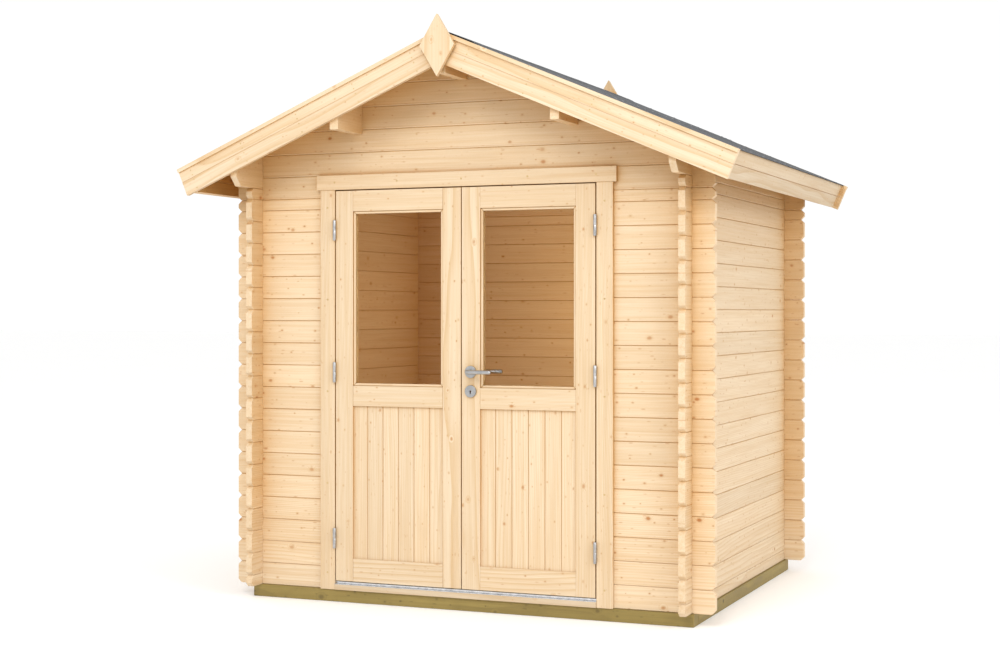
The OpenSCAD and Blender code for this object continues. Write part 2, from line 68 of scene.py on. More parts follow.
# Helpers for node trees
class Wires:
    def __init__(self, tree):
        self.tree = tree

    def add(self, kind, **settings):
        node = self.tree.nodes.new(kind)
        for key, value in settings.items():
            setattr(node, key, value)
        return node

    def feed(self, socket, value):
        if isinstance(value, bpy.types.NodeSocket):
            self.tree.links.new(value, socket)
        else:
            socket.default_value = value

    def math(self, operation, a, b=None, c=None, clamp=False):
        node = self.add("ShaderNodeMath", operation=operation, use_clamp=clamp)
        for socket, value in zip(node.inputs, (a, b, c)):
            if value is not None:
                self.feed(socket, value)
        return node.outputs[0]

    def vector(self, operation, a, b=None, scale=None):
        node = self.add("ShaderNodeVectorMath", operation=operation)
        self.feed(node.inputs[0], a)
        if b is not None:
            self.feed(node.inputs[1], b)
        if scale is not None:
            self.feed(node.inputs["Scale"], scale)
        return node.outputs["Value"] if operation == "LENGTH" else node.outputs[0]

    def split(self, vector):
        node = self.add("ShaderNodeSeparateXYZ")
        self.feed(node.inputs[0], vector)
        return node.outputs

    def join(self, x, y, z):
        node = self.add("ShaderNodeCombineXYZ")
        for socket, value in zip(node.inputs, (x, y, z)):
            self.feed(socket, value)
        return node.outputs[0]

    def noise(self, vector, scale, detail=2.0, rough=0.5):
        node = self.add("ShaderNodeTexNoise")
        self.feed(node.inputs["Vector"], vector)
        self.feed(node.inputs["Scale"], scale)
        self.feed(node.inputs["Detail"], detail)
        self.feed(node.inputs["Roughness"], rough)
        return node.outputs["Fac"]

    def chance(self, value):
        node = self.add("ShaderNodeTexWhiteNoise", noise_dimensions="1D")
        self.feed(node.inputs["W"], value)
        return node.outputs

    def span(self, value, low, high, outLow=0.0, outHigh=1.0):
        node = self.add("ShaderNodeMapRange")
        for label, number in (("Value", value), ("From Min", low), ("From Max", high),
                              ("To Min", outLow), ("To Max", outHigh)):
            self.feed(node.inputs[label], number)
        return node.outputs["Result"]

    def mix(self, factor, a, b):
        node = self.add("ShaderNodeMix", data_type="RGBA")
        colours = [s for s in node.inputs if s.type == "RGBA"]
        self.feed(node.inputs[0], factor)
        self.feed(colours[0], a)
        self.feed(colours[1], b)
        return [s for s in node.outputs if s.type == "RGBA"][0]

    def choose(self, factor, a, b):
        node = self.add("ShaderNodeMix", data_type="VECTOR")
        vectors = [s for s in node.inputs if s.type == "VECTOR" and s.name in ("A", "B")]
        self.feed(node.inputs[0], factor)
        self.feed(vectors[0], a)
        self.feed(vectors[1], b)
        return [s for s in node.outputs if s.type == "VECTOR"][0]

    def between(self, factor, a, b):
        return self.math("MULTIPLY_ADD", factor, self.math("SUBTRACT", b, a), a)


def newGroup(name, inputs, outputs):
    tree = bpy.data.node_groups.new(name, "ShaderNodeTree")
    for label, kind, start in inputs:
        socket = tree.interface.new_socket(name=label, in_out="INPUT", socket_type="NodeSocket" + kind)
        if start is not None:
            socket.default_value = start
    for label, kind in outputs:
        tree.interface.new_socket(name=label, in_out="OUTPUT", socket_type="NodeSocket" + kind)
    w = Wires(tree)
    return tree, w, w.add("NodeGroupInput").outputs, w.add("NodeGroupOutput").inputs


# Knots: cells for each metre along and across the grain, the share of cells with a knot, and its form
knotKinds = {
    "big": {"cells": (4.5, 10.0), "share": 0.42, "largest": 0.0080, "strength": 1.0, "stretch": 1.4},
    "pin": {"cells": (12.0, 18.0), "share": 0.50, "largest": 0.0042, "strength": 0.85, "stretch": 1.4},
    "fleck": {"cells": (19.0, 38.0), "share": 0.34, "largest": 0.0032, "strength": 0.50, "stretch": 3.2},
}
# Year rings in metres, then the stretch of fibres, streaks and veins and how much of each shows
spruceWork = {
    "ringWide": 0.0040, "pithDeep": (0.02, 0.10), "pithDrift": 0.09, "ringBend": 0.011, "knotBend": 0.006,
    "fibres": (6.0, 420.0, 420.0), "streaks": (1.6, 46.0, 46.0), "veins": (2.4, 150.0, 150.0),
    "ringShare": 0.62, "streakShare": 0.42, "veinShare": 0.42, "pieceShare": 0.10, "haloShare": 0.30,
}


# Sawn softwood as a solid: year rings round a pith line, fibres, knots and a tone for each piece.
# X of the vector runs with the grain, Y through the board and Z across it, and Piece numbers the boards.
def spruceGroup():
    tree, w, src, out = newGroup("spruceGrain", [
        ("Vector", "Vector", None), ("Piece", "Float", 0.0),
        ("Early", "Color", (0.8, 0.6, 0.38, 1)), ("Late", "Color", (0.62, 0.36, 0.16, 1)),
        ("Knot", "Color", (0.22, 0.085, 0.03, 1)), ("Rings", "Float", 1.0), ("Knots", "Float", 1.0),
        ("Tone", "Float", 1.0),
    ], [("Color", "Color"), ("Height", "Float"), ("Roughness", "Float")])
    chance = w.chance(src["Piece"])
    pick = w.split(chance["Color"])
    at = w.vector("ADD", src["Vector"], w.vector("SCALE", chance["Color"], scale=7.0))
    along = w.split(at)

    # knots of two sizes and flecks, as scattered points on the board, longer with the grain
    wobble = w.math("SUBTRACT", w.noise(at, 90.0, 1.0), 0.5)

    def knotLayer(cells, share, largest, strength, stretch):
        lengthwise, across = cells
        flat = w.join(w.math("MULTIPLY", along[0], lengthwise), w.math("MULTIPLY", along[2], across), 0.0)
        spots = w.add("ShaderNodeTexVoronoi", voronoi_dimensions="2D", feature="F1")
        w.feed(spots.inputs["Vector"], flat)
        w.feed(spots.inputs["Scale"], 1.0)
        w.feed(spots.inputs["Randomness"], 0.9)
        away = w.split(w.vector("SUBTRACT", flat, spots.outputs["Position"]))
        awayAlong = w.math("DIVIDE", away[0], lengthwise * stretch)
        awayAcross = w.math("DIVIDE", away[1], across)
        gap = w.vector("LENGTH", w.join(awayAlong, awayAcross, 0.0))
        gap = w.math("MULTIPLY_ADD", wobble, largest * 0.5, gap)
        lot = w.split(spots.outputs["Color"])
        size = w.span(lot[0], 1.0 - share, 1.0, largest * 0.25, largest)
        size = w.math("MULTIPLY", size, src["Knots"])
        present = w.math("GREATER_THAN", lot[0], 1.0 - share)
        present = w.math("MULTIPLY", present, w.math("MINIMUM", src["Knots"], 1.0))
        soft = largest * 0.45
        core = w.span(w.math("SUBTRACT", gap, size), -soft, soft * 0.6, 1.0, 0.0)
        depth = w.span(lot[1], 0.0, 1.0, strength * 0.4, strength)
        core = w.math("MULTIPLY", core, w.math("MULTIPLY", present, depth))
        rim = w.math("SUBTRACT", gap, w.math("MULTIPLY", size, 2.6))
        halo = w.span(rim, largest * -1.4, 0.0, 1.0, 0.0)
        return core, w.math("MULTIPLY", halo, present)

    bigCore, halo = knotLayer(**knotKinds["big"])
    pinCore, pinHalo = knotLayer(**knotKinds["pin"])
    fleckCore = knotLayer(**knotKinds["fleck"])[0]  # resin flecks, without a halo
    core = w.math("MAXIMUM", w.math("MAXIMUM", bigCore, pinCore), fleckCore)

    # year rings, pushed aside by the knots
    bend = w.math("SUBTRACT", w.noise(w.vector("MULTIPLY", at, (1.1, 4.0, 4.0)), 1.0, 2.0), 0.5)
    drift = w.noise(w.vector("MULTIPLY", at, (0.35, 1.0, 1.0)), 1.0, 1.0)
    plain = w.split(src["Vector"])
    pithY = w.math("ADD", plain[1], w.span(pick[0], 0.0, 1.0, *spruceWork["pithDeep"]))
    aside = spruceWork["pithDrift"]
    pithZ = w.math("ADD", plain[2], w.span(drift, 0.0, 1.0, -aside, aside))
    around = w.vector("LENGTH", w.join(0.0, pithY, pithZ))
    around = w.math("MULTIPLY_ADD", bend, spruceWork["ringBend"], around)
    around = w.math("MULTIPLY_ADD", halo, spruceWork["knotBend"], around)
    ring = w.math("FRACT", w.math("DIVIDE", around, spruceWork["ringWide"]))
    late = w.math("MULTIPLY", w.span(ring, 0.35, 0.92), w.span(ring, 0.93, 1.0, 1.0, 0.0))
    late = w.math("MULTIPLY", w.math("POWER", late, 1.6), src["Rings"])
    fibre = w.noise(w.vector("MULTIPLY", at, spruceWork["fibres"]), 1.0, 3.0, 0.6)
    streak = w.noise(w.vector("MULTIPLY", at, spruceWork["streaks"]), 1.0, 3.0, 0.55)
    vein = w.noise(w.vector("MULTIPLY", at, spruceWork["veins"]), 1.0, 2.0, 0.6)

    body = w.mix(w.math("MULTIPLY", late, spruceWork["ringShare"]), src["Early"], src["Late"])
    body = w.mix(w.span(streak, 0.36, 0.74, 0.0, spruceWork["streakShare"]), body, src["Late"])
    body = w.mix(w.span(vein, 0.45, 0.72, 0.0, spruceWork["veinShare"]), body, src["Late"])
    tone = w.math("MULTIPLY", w.span(pick[1], 0.0, 1.0, 0.97, 1.05), w.span(fibre, 0.25, 0.75, 0.96, 1.03))
    body = w.vector("SCALE", body, scale=w.math("MULTIPLY", tone, src["Tone"]))
    body = w.mix(w.math("MULTIPLY", pick[2], spruceWork["pieceShare"]), body, src["Late"])
    rim = w.math("MULTIPLY", w.math("MAXIMUM", halo, pinHalo), spruceWork["haloShare"])
    body = w.mix(rim, body, src["Late"])
    w.feed(out["Color"], w.mix(core, body, src["Knot"]))
    height = w.math("ADD", w.math("MULTIPLY", late, 0.35), w.math("MULTIPLY", fibre, 0.65))
    w.feed(out["Height"], w.math("MULTIPLY_ADD", core, -0.4, height))
    w.feed(out["Roughness"], w.span(height, 0.1, 0.9, 0.62, 0.48))
    return tree


# Painted shade: wood is tinted a darker amber where ambient occlusion finds it hemmed in, in corners and
# under the roof's edge, though not close to the ground
def paintedShadeGroup():
    tree, w, src, out = newGroup("paintedShadeCorners", [
        ("Color", "Color", (0.7, 0.6, 0.4, 1)), ("Tint", "Color", (0.84, 0.62, 0.30, 1)),
        ("Open", "Float", 1.0), ("Share", "Float", 0.9), ("Up", "Float", 1.0),
    ], [("Color", "Color")])
    deep = w.math("MULTIPLY", w.span(src["Open"], 0.30, 0.92, 1.0, 0.0), src["Share"])
    deep = w.math("MULTIPLY", deep, w.span(src["Up"], 0.1, 0.5))
    w.feed(out["Color"], w.mix(deep, src["Color"], w.vector("MULTIPLY", src["Color"], src["Tint"])))
    return tree


# Speckle of fine mineral chips or metal grain, with slow patches
def speckleGroup():
    tree, w, src, out = newGroup("speckle", [
        ("Vector", "Vector", None), ("Scale", "Float", 900.0), ("Dark", "Color", (0.05, 0.05, 0.055, 1)),
        ("Light", "Color", (0.2, 0.2, 0.21, 1)), ("Patches", "Float", 0.4),
    ], [("Color", "Color"), ("Height", "Float"), ("Mask", "Float")])
    chips = w.add("ShaderNodeTexVoronoi", feature="F1")
    w.feed(chips.inputs["Vector"], src["Vector"])
    w.feed(chips.inputs["Scale"], src["Scale"])
    chip = w.split(chips.outputs["Color"])[0]
    patch = w.noise(src["Vector"], 3.2, 4.0, 0.6)
    factor = w.math("ADD", w.math("MULTIPLY", chip, 0.6),
                    w.math("MULTIPLY", w.math("SUBTRACT", patch, 0.3), src["Patches"]), clamp=True)
    w.feed(out["Color"], w.mix(factor, src["Dark"], src["Light"]))
    w.feed(out["Height"], w.math("SUBTRACT", 1.0, chips.outputs["Distance"]))
    w.feed(out["Mask"], patch)
    return tree


groups = {"spruce": spruceGroup(), "paintedShade": paintedShadeGroup(), "speckle": speckleGroup()}
print("node groups:", ", ".join(groups))


def newMaterial(name):
    material = bpy.data.materials.new(name)
    material.use_nodes = True
    w = Wires(material.node_tree)
    shader = material.node_tree.nodes["Principled BSDF"]
    place = w.add("ShaderNodeTexCoord").outputs["Object"]
    return material, w, shader, place


def placeGroup(w, key, **values):
    node = w.add("ShaderNodeGroup", node_tree=groups[key])
    for label, value in values.items():
        w.feed(node.inputs[label], value)
    return node.outputs


def bump(w, shader, height, strength, distance):
    node = w.add("ShaderNodeBump")
    w.feed(node.inputs["Height"], height)
    w.feed(node.inputs["Strength"], strength)
    w.feed(node.inputs["Distance"], distance)
    w.feed(shader.inputs["Normal"], node.outputs["Normal"])


# Painted shade lines in the grooves between logs or boards: how far from the middle of the groove they are
# full and where they end, in metres
grooves = {"logs": (0.0008, 0.0026), "floor": (0.0007, 0.0018), "deck": (0.0008, 0.0022),
           "panel": (0.0008, 0.0024), "rail": (0.0004, 0.0011), "boards": (0.0012, 0.0034)}


# How the grain lies in each kind of piece: gives the oriented vector, the piece's number and, where boards
# meet in a groove, a mask of the groove where its shade is painted. The round numbers added to a piece's
# number only keep the pieces of other walls and sides apart.
def grooveMask(w, steps, pitch, near, far):
    part = w.math("FRACT", steps)
    apart = w.math("MULTIPLY", w.math("MINIMUM", part, w.math("SUBTRACT", 1.0, part)), pitch)
    return w.span(apart, near, far, 1.0, 0.0)


def grainLogsAcross(w, x, y, z):
    low = w.math("DIVIDE", w.math("SUBTRACT", z, build["baseTop"]), build["rowPitch"])
    high = w.math("DIVIDE", w.math("SUBTRACT", z, build["rowsTop"]), build["rowPitch"])
    upper = w.math("GREATER_THAN", z, build["rowsTop"] - build["rowPitch"] / 2)
    piece = w.between(upper, w.math("FLOOR", low), w.math("ADD", w.math("FLOOR", high), 40.0))
    groove = grooveMask(w, w.between(upper, low, high), build["rowPitch"], *grooves["logs"])
    back = w.math("GREATER_THAN", y, 0.0)
    whole = w.math("MAXIMUM", upper, back)  # only the front's lower logs are parted by the doorway
    side = w.math("MULTIPLY", w.math("GREATER_THAN", x, 0.0), w.math("SUBTRACT", 1.0, whole))
    piece = w.math("MULTIPLY_ADD", side, 100.0, piece)
    return w.join(x, y, z), w.math("MULTIPLY_ADD", back, 200.0, piece), groove


def grainLogsAlong(w, x, y, z):
    rows = w.math("SUBTRACT", z, build["baseTop"] + build["rowPitch"] / 2)
    rows = w.math("DIVIDE", rows, build["rowPitch"])
    plate = w.math("GREATER_THAN", z, build["rowsTop"] + build["rowPitch"] / 2)  # one tall log at the eaves
    piece = w.between(plate, w.math("FLOOR", rows), 60.0)
    piece = w.math("MULTIPLY_ADD", w.math("GREATER_THAN", x, 0.0), 100.0, piece)
    groove = grooveMask(w, rows, build["rowPitch"], *grooves["logs"])
    groove = w.math("MULTIPLY", groove, w.math("LESS_THAN", z, build["rowsTop"] + 0.02))
    return w.join(y, x, z), w.math("ADD", piece, 400.0), groove


def grainUpright(w, x, y, z):
    return w.join(z, y, x), w.math("FLOOR", w.math("MULTIPLY", x, 3.1))


def grainLevel(w, x, y, z):
    return w.join(x, y, z), w.math("FLOOR", w.math("MULTIPLY", z, 7.7))


def grainDeep(w, x, y, z):
    return w.join(y, x, z), w.math("FLOOR", w.math("MULTIPLY", x, 5.3))


def grainFloor(w, x, y, z):
    low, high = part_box("floor_boards")
    pitch = boardPitch(low.y, high.y, build["floorBoards"])
    steps = w.math("DIVIDE", w.math("SUBTRACT", y, low.y - build["boardGap"] / 2), pitch)
    return w.join(x, z, y), w.math("FLOOR", steps), grooveMask(w, steps, pitch, *grooves["floor"])


def slopePlace(w, x, z):
    out = w.math("ABSOLUTE", x)
    down = w.math("SUBTRACT", build["apex"], z)
    c, s = math.cos(build["roofPitch"]), math.sin(build["roofPitch"])
    u = w.math("MULTIPLY_ADD", out, c, w.math("MULTIPLY", down, s))
    v = w.math("SUBTRACT", w.math("MULTIPLY", out, s), w.math("MULTIPLY", down, c))
    return u, v


def boardSeam(w, v):  # painted shade line where the two boards of a bargeboard or fascia meet
    apart = w.math("ABSOLUTE", w.math("ADD", v, build["boardWide"]))
    return w.span(apart, *grooves["boards"], 1.0, 0.0)


def grainSlope(w, x, y, z):
    u, v = slopePlace(w, x, z)
    piece = w.math("FLOOR", w.math("DIVIDE", v, build["boardWide"]))
    side = w.math("MULTIPLY_ADD", w.math("GREATER_THAN", x, 0.0), 20.0, piece)
    piece = w.math("MULTIPLY_ADD", w.math("GREATER_THAN", y, 0.0), 50.0, side)
    return w.join(u, y, v), piece, boardSeam(w, v)


def grainFascia(w, x, y, z):
    u, v = slopePlace(w, x, z)
    piece = w.math("FLOOR", w.math("DIVIDE", v, build["boardWide"]))
    piece = w.math("MULTIPLY_ADD", w.math("GREATER_THAN", x, 0.0), 20.0, piece)
    return w.join(y, u, v), piece, boardSeam(w, v)


def grainDeck(w, x, y, z):
    u, v = slopePlace(w, x, z)
    pitch = (feltHigh.y - feltLow.y) / build["roofBoards"]
    steps = w.math("DIVIDE", w.math("SUBTRACT", y, feltLow.y), pitch)
    piece = w.math("MULTIPLY_ADD", w.math("GREATER_THAN", x, 0.0), 60.0, w.math("FLOOR", steps))
    return w.join(u, v, y), piece, grooveMask(w, steps, pitch, *grooves["deck"])


def grainLeaf(w, x, y, z):
    out = w.math("ABSOLUTE", x)
    stileIn = paneLow.x - build["beadGap"]
    stileOut = paneHigh.x + build["beadGap"]
    rail = w.math("MULTIPLY", w.math("GREATER_THAN", out, stileIn), w.math("LESS_THAN", out, stileOut))
    vector = w.choose(rail, w.join(z, y, x), w.join(x, y, z))
    stilePiece = w.math("FLOOR", w.math("MULTIPLY", x, 3.1))
    railPiece = w.math("ADD", w.math("FLOOR", w.math("MULTIPLY", z, 1.9)), 31.0)
    railPiece = w.math("MULTIPLY_ADD", w.math("GREATER_THAN", x, 0.0), 9.0, railPiece)
    seam = w.math("MINIMUM", w.math("ABSOLUTE", w.math("SUBTRACT", out, stileIn)),
                  w.math("ABSOLUTE", w.math("SUBTRACT", out, stileOut)))
    return vector, w.between(rail, stilePiece, railPiece), w.span(seam, *grooves["rail"], 1.0, 0.0)


def grainPanel(w, x, y, z):
    low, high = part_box("right_leaf_boards")
    pitch = boardPitch(low.x, high.x, build["panelBoards"])
    out = w.math("SUBTRACT", w.math("ABSOLUTE", x), low.x - build["boardGap"] / 2)
    steps = w.math("DIVIDE", out, pitch)
    piece = w.math("MULTIPLY_ADD", w.math("GREATER_THAN", x, 0.0), 11.0, w.math("FLOOR", steps))
    return w.join(z, y, x), piece, grooveMask(w, steps, pitch, *grooves["panel"])


def grainBeads(w, x, y, z):
    out = w.math("ABSOLUTE", x)
    mid = (paneLow.z + paneHigh.z) / 2
    half = (paneHigh.z - paneLow.z) / 2 - build["beadWide"]
    level = w.math("GREATER_THAN", w.math("ABSOLUTE", w.math("SUBTRACT", z, mid)), half)
    return w.choose(level, w.join(z, y, x), w.join(x, y, z)), w.math("FLOOR", w.math("MULTIPLY", x, 6.0))


# Wood colours, and the tint, reach and strength of the painted warm shade that ambient occlusion lays in
# corners and under the eaves
woods = {
    "palePlaned": {
        "early": (0.708, 0.571, 0.402), "late": (0.57, 0.378, 0.190), "knot": (0.43, 0.185, 0.058),
        "corner": (0.84, 0.62, 0.30), "cornerReach": 0.45, "cornerShare": 0.90,
    },
    "greenTreated": {
        "early": (0.332, 0.247, 0.072), "late": (0.195, 0.14, 0.039), "knot": (0.08, 0.055, 0.02),
        "corner": (0.85, 0.75, 0.60), "cornerReach": 0.05, "cornerShare": 0.4,
    },
}

# Every wooden finish: its grain, a seed, the strength of rings and knots, a tone, the strength of the
# painted amber shade in its corners and under the eaves, the strength of the painted shade lines in the
# grooves between boards and, on treated wood, how unevenly it has soaked
plainFinish = {"wood": "palePlaned", "seed": 0.0, "rings": 1.0, "knots": 1.0, "tone": 1.0,
               "shadeWeight": 1.0, "grooveShade": 0.26, "patchy": 0.0}
treatedFinish = {"wood": "greenTreated", "rings": 0.9, "knots": 1.2, "patchy": 0.6}
finishes = {
    "logsAcross": {"grain": grainLogsAcross, "rings": 0.8, "tone": 1.045},
    # a darker tone than the wall's logs below: painted shade on the gable under the roof's overhang
    "logsGable": {"grain": grainLogsAcross, "rings": 0.8, "tone": 0.99},
    "logsAlong": {"grain": grainLogsAlong, "grooveShade": 0.06},
    "uprightBoard": {"grain": grainUpright, "seed": 3.0, "rings": 1.2, "knots": 0.8, "tone": 0.985},
    "levelBoard": {"grain": grainLevel, "seed": 7.0, "rings": 1.2, "knots": 0.8, "tone": 0.985},
    # lowered tone: painted shade on the sill under the doors
    "sillBoard": {"grain": grainLevel, "seed": 9.0, "knots": 0.7, "tone": 0.82},
    "deepBeam": {"grain": grainDeep, "seed": 11.0, "knots": 0.8, "tone": 1.06},
    "floorBoard": {"grain": grainFloor, "seed": 17.0, "tone": 0.94},
    "vergeBoard": {"grain": grainSlope, "seed": 23.0, "rings": 1.1, "knots": 0.8},
    # raised tone: painted light lifting the shaded underside of the left eave
    "leftEave": {"grain": grainFascia, "seed": 29.0, "knots": 0.8, "tone": 1.10, "shadeWeight": 1.2},
    "rightEave": {"grain": grainFascia, "seed": 29.0, "rings": 1.2, "knots": 0.8, "tone": 0.84,
                  "shadeWeight": 1.1},
    # raised tone: painted light lifting the shaded underside of the roof boards
    "roofBoard": {"grain": grainDeck, "seed": 31.0, "tone": 1.25, "shadeWeight": 0.7},
    "leafWood": {"grain": grainLeaf, "seed": 37.0, "rings": 1.15, "knots": 0.9, "tone": 0.985},
    "panelWood": {"grain": grainPanel, "seed": 41.0, "rings": 0.7, "knots": 0.8},
    "beadWood": {"grain": grainBeads, "seed": 43.0, "rings": 0.7, "knots": 0.0},
    "treatedAcross": {"grain": grainLevel, "seed": 47.0, **treatedFinish},
    "treatedAlong": {"grain": grainDeep, "seed": 53.0, **treatedFinish},
}


def woodMaterial(name):
    material, w, shader, place = newMaterial(name)
    finish = {**plainFinish, **finishes[name]}
    look = woods[finish["wood"]]
    x, y, z = w.split(place)
    vector, piece, *seam = finish["grain"](w, x, y, z)
    wood = placeGroup(w, "spruce", Vector=vector, Piece=w.math("ADD", piece, finish["seed"]),
                      Early=look["early"] + (1,), Late=look["late"] + (1,), Knot=look["knot"] + (1,),
                      Rings=finish["rings"], Knots=finish["knots"], Tone=finish["tone"])
    colour = wood["Color"]
    if seam:  # painted shade lines in the grooves between logs or boards, and where a rail meets a stile
        colour = w.mix(w.math("MULTIPLY", seam[0], finish["grooveShade"]), colour, look["knot"] + (1,))
    if finish["patchy"]:  # uneven soaking of the preservative
        soaked = placeGroup(w, "speckle", Vector=place, Scale=60.0)["Mask"]
        colour = w.mix(w.span(soaked, 0.35, 0.70, 0.0, finish["patchy"]), colour, look["late"] + (1,))
    # painted warm shade: ambient occlusion darkens the colour towards amber in corners, grooves and under
    # the eaves
    corner = w.add("ShaderNodeAmbientOcclusion", samples=4)
    w.feed(corner.inputs["Distance"], look["cornerReach"])
    colour = placeGroup(w, "paintedShade", Color=colour, Tint=look["corner"] + (1,), Open=corner.outputs["AO"],
                        Share=look["cornerShare"] * finish["shadeWeight"], Up=z)["Color"]
    w.feed(shader.inputs["Base Color"], colour)
    w.feed(shader.inputs["Roughness"], wood["Roughness"])
    shader.inputs["Specular IOR Level"].default_value = 0.35
    bump(w, shader, wood["Height"], 0.35, 0.0006)
    return material


# Felt: where its laps lie down the slope, how far each layer stands up, and its chips
feltWork = {
    "sheetEnd": 0.78, "sheetRise": 0.0030, "capEnd": 0.17, "capRise": 0.0068, "lapLine": 0.004,
    "lapWobble": 0.010, "chipScale": 420.0, "patches": 0.45, "rough": 0.92,
    "darkChip": (0.042, 0.044, 0.047), "lightChip": (0.135, 0.14, 0.15),
    "bitumen": (0.012, 0.012, 0.013, 1),
}


def feltMaterial(name, tone, lines):  # lines: places down the slope where bitumen shows at a lap
    material, w, shader, place = newMaterial(name)
    x, y, z = w.split(place)
    u, v = slopePlace(w, x, z)
    wander = w.math("SUBTRACT", w.noise(place, 14.0, 2.0), 0.5)
    u = w.math("MULTIPLY_ADD", wander, feltWork["lapWobble"], u)
    chips = placeGroup(w, "speckle", Vector=place, Scale=feltWork["chipScale"], Patches=feltWork["patches"],
                       Dark=tuple(c * tone for c in feltWork["darkChip"]) + (1,),
                       Light=tuple(c * tone for c in feltWork["lightChip"]) + (1,))
    colour = chips["Color"]
    for line in lines:
        wet = w.span(w.math("ABSOLUTE", w.math("SUBTRACT", u, line)), 0.003, 0.008, 0.9, 0.0)
        colour = w.mix(wet, colour, feltWork["bitumen"])
    w.feed(shader.inputs["Base Color"], colour)
    shader.inputs["Roughness"].default_value = feltWork["rough"]
    bump(w, shader, chips["Height"], 0.5, 0.0012)
    return material


metals = {
    "zinc": {
        "name": "platedZinc", "dark": (0.36, 0.365, 0.37), "light": (0.50, 0.50, 0.51), "rough": 0.38,
    },
    "satin": {
        "name": "satinSteel", "dark": (0.34, 0.345, 0.35), "light": (0.45, 0.45, 0.45), "rough": 0.30,
    },
    "goldZinc": {
        "name": "yellowZinc", "dark": (0.52, 0.37, 0.17), "light": (0.64, 0.48, 0.25), "rough": 0.40,
    },
    "clout": {
        "name": "dullClout", "dark": (0.26, 0.26, 0.265), "light": (0.40, 0.40, 0.41), "rough": 0.5,
    },
    "alloy": {
        "name": "millAlloy", "dark": (0.54, 0.55, 0.57), "light": (0.74, 0.75, 0.77), "rough": 0.24,
        "scale": (9.0, 900.0, 900.0),
    },
}


def metalMaterial(name, dark, light, rough, scale=(700.0, 700.0, 700.0)):
    material, w, shader, place = newMaterial(name)
    stretched = w.vector("MULTIPLY", place, scale)
    brushed = w.noise(stretched, 1.0, 4.0, 0.6)
    patch = w.noise(place, 45.0, 3.0)
    w.feed(shader.inputs["Base Color"], w.mix(w.span(patch, 0.3, 0.7), dark + (1,), light + (1,)))
    w.feed(shader.inputs["Roughness"], w.span(brushed, 0.2, 0.8, rough - 0.08, rough + 0.10))
    shader.inputs["Metallic"].default_value = 1.0
    bump(w, shader, brushed, 0.12, 0.0002)
    return material


def glassMaterial():
    material, w, shader, place = newMaterial("clearPane")
    ripple = w.noise(place, 1.6, 1.0)
    shader.inputs["Base Color"].default_value = (0.97, 0.985, 0.975, 1)
    shader.inputs["Roughness"].default_value = 0.0
    shader.inputs["IOR"].default_value = 1.13
    shader.inputs["Transmission Weight"].default_value = 1.0
    bump(w, shader, ripple, 0.05, 0.002)
    return material


looks = {name: woodMaterial(name) for name in finishes}
looks.update({
    "felt": feltMaterial("mineralFelt", 1.0, [feltWork["sheetEnd"] + feltWork["lapLine"]]),
    "feltUpper": feltMaterial("mineralFeltUpper", 1.12, [feltWork["capEnd"] + feltWork["lapLine"]]),
    "feltCap": feltMaterial("mineralFeltCap", 0.95, []),
    "glass": glassMaterial(),
})
looks.update({key: metalMaterial(**metal) for key, metal in metals.items()})
print("looks made:", len(looks))

# Which look each solid wears, and the rounding of its edges in metres
dress = {
    "logsAcross": (["front_wall_left", "front_wall_right", "back_wall"], 0.0008),
    "logsGable": (["front_gable"], 0.0008),
    "logsAlong": (["left_wall", "right_wall"], 0.0008),
    "uprightBoard": (["left_jamb", "right_jamb", "left_casing", "right_casing",
                      "front_diamond", "back_diamond"], 0.002),
    "levelBoard": (["door_head", "top_casing"], 0.002),
    "sillBoard": (["door_sill"], 0.002),
    "deepBeam": (["ridge_purlin", "left_purlin", "right_purlin"], 0.002),
    "floorBoard": (["floor_boards"], 0.001),
    "vergeBoard": (["front_left_bargeboard", "front_right_bargeboard", "back_left_bargeboard",
                    "back_right_bargeboard"], 0.002),
    "leftEave": (["left_fascia"], 0.002),
    "rightEave": (["right_fascia"], 0.002),
    "roofBoard": (["left_roof_boards", "right_roof_boards"], 0.001),
    "leafWood": (["left_leaf_frame", "right_leaf_frame"], 0.0018),
    "panelWood": (["left_leaf_boards", "right_leaf_boards"], 0.0),
    "beadWood": (["left_leaf_beads", "right_leaf_beads"], 0.0025),
    "treatedAcross": (["front_beam", "back_beam"], 0.003),
    "treatedAlong": (["floor_bearers"], 0.003),
    "felt": (["left_felt", "right_felt"], 0.001),
    "zinc": (["frame_hinges", "left_leaf_hinges", "right_leaf_hinges"], 0.0006),
    "satin": (["lock_roses", "lever_handle"], 0.0012),
    "alloy": (["threshold_rail"], 0.0006),
    "glass": (["left_leaf_glass", "right_leaf_glass"], 0.0),
}
rounding = {"weld": 0.00002, "segments": 2, "sharpFrom": math.radians(40)}


def roundEdges(piece, width):
    weld = piece.modifiers.new("weld", "WELD")
    weld.merge_threshold = rounding["weld"]
    bevel = piece.modifiers.new("rounding", "BEVEL")
    bevel.width = width
    bevel.segments = rounding["segments"]
    bevel.limit_method = "ANGLE"
    bevel.angle_limit = rounding["sharpFrom"]
    bevel.harden_normals = True


for look, (names, width) in dress.items():
    for name in names:
        piece = nodes[name]
        piece.data.materials.clear()
        piece.data.materials.append(looks[look])
        if width > 0:
            roundEdges(piece, width)
print("solids dressed:", sum(len(names) for names, width in dress.values()))


# Added pieces: fixings, felt sheets, rail ribs and the lock's plates
def newPiece(name, bm, look, body):
    mesh = bpy.data.meshes.new(name)
    bm.normal_update()
    bm.to_mesh(mesh)
    bm.free()
    mesh.materials.append(looks[look])
    piece = bpy.data.objects.new(name, mesh)
    scene.collection.objects.link(piece)
    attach(piece, body)
    return piece


def turnedTo(facing, at):
    turn = Vector((0, 0, 1)).rotation_difference(Vector(facing))
    return Matrix.Translation(at) @ turn.to_matrix().to_4x4()


